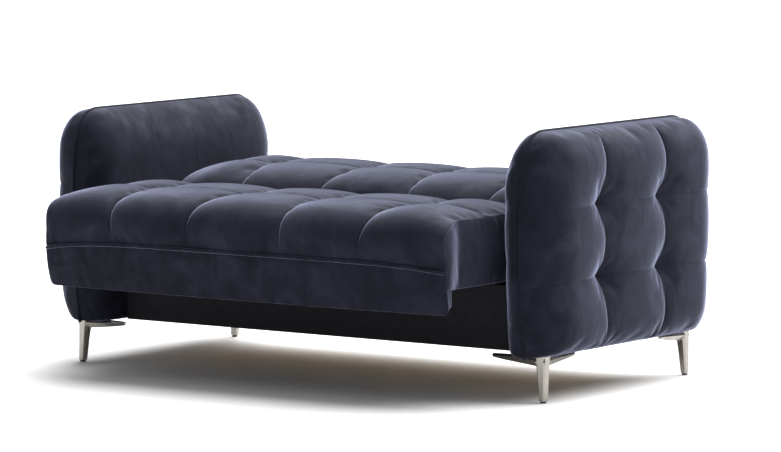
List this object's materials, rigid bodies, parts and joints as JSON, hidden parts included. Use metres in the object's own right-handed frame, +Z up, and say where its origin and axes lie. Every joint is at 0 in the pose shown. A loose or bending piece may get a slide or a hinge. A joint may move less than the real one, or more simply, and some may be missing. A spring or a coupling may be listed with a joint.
{
  "type": "futon sofa bed",
  "caption": "Click-clack velvet sofa bed opened flat between two tufted padded arms, seat drawn forward over a storage box, on splayed metal corner legs.",
  "frame": {"origin": "on the floor, under the centre of the opened bed's box, on the left-right centre plane", "axes": "+X across the width to the right-hand arm as seen from the front, +Y from the front of the seat to the rear, +Z up"},
  "size_m": [1.69, 1.1, 0.712],
  "materials": {
    "velvet": "matte",
    "box_cloth": "matte",
    "lining": "matte",
    "timber": "matte",
    "plywood": "matte",
    "satin_nickel": "satin",
    "zinc_steel": "satin",
    "nylon": "matte"
  },
  "bodies": {
    "base": {"arm_left_inner_pad": "velvet", "arm_left_outer_pad": "velvet", "arm_left_front_post": "timber", "arm_left_rear_post": "timber", "arm_left_top_rail": "timber", "arm_left_bottom_rail": "timber", "leg_front_left": "satin_nickel", "foot_glide_front_left": "nylon", "arm_bolt_front_left": "zinc_steel", "leg_rear_left": "satin_nickel", "foot_glide_rear_left": "nylon", "arm_bolt_rear_left": "zinc_steel", "box_left_panel": "box_cloth", "slide_channel_left": "zinc_steel", "arm_right_inner_pad": "velvet", "arm_right_outer_pad": "velvet", "arm_right_front_post": "timber", "arm_right_rear_post": "timber", "arm_right_top_rail": "timber", "arm_right_bottom_rail": "timber", "leg_front_right": "satin_nickel", "foot_glide_front_right": "nylon", "arm_bolt_front_right": "zinc_steel", "leg_rear_right": "satin_nickel", "foot_glide_rear_right": "nylon", "arm_bolt_rear_right": "zinc_steel", "box_right_panel": "box_cloth", "slide_channel_right": "zinc_steel", "box_front_panel": "box_cloth", "box_rear_panel": "box_cloth", "box_floor": "plywood"},
    "carriage": {"cross_tube": "zinc_steel", "slide_runner_left": "zinc_steel", "hinge_upright_left": "zinc_steel", "pivot_pin_left": "zinc_steel", "slide_runner_right": "zinc_steel", "hinge_upright_right": "zinc_steel", "pivot_pin_right": "zinc_steel"},
    "seat": {"seat_left_rail": "timber", "seat_hinge_arm_left": "zinc_steel", "seat_right_rail": "timber", "seat_hinge_arm_right": "zinc_steel", "seat_front_rail": "timber", "seat_rear_rail": "timber", "seat_middle_rail": "timber", "seat_deck": "plywood", "seat_lining": "lining", "seat_front_border": "velvet", "seat_cushion": "velvet"},
    "back": {"back_left_rail": "timber", "back_hinge_arm_left": "zinc_steel", "back_right_rail": "timber", "back_hinge_arm_right": "zinc_steel", "back_lower_rail": "timber", "back_top_rail": "timber", "back_middle_rail": "timber", "back_deck": "plywood", "back_lining": "lining", "back_cushion": "velvet"}
  },
  "joints": [
    {"name": "seat_slide", "type": "slide", "parent": "base", "child": "carriage", "axis": [0, 1, 0], "range_m": [0, 0.25]},
    {"name": "back_fold", "type": "hinge", "parent": "carriage", "child": "back", "pos_m": [0, -0.015, 0.47], "axis": [1, 0, 0], "range_deg": [0, 78]},
    {"name": "seat_lift", "type": "hinge", "parent": "carriage", "child": "seat", "pos_m": [0, -0.015, 0.47], "axis": [-1, 0, 0], "range_deg": [0, 32]}
  ],
  "couplings": [
    {"joint": "back_fold", "follows": "seat_slide", "rad_per_m": 5.445}
  ]
}
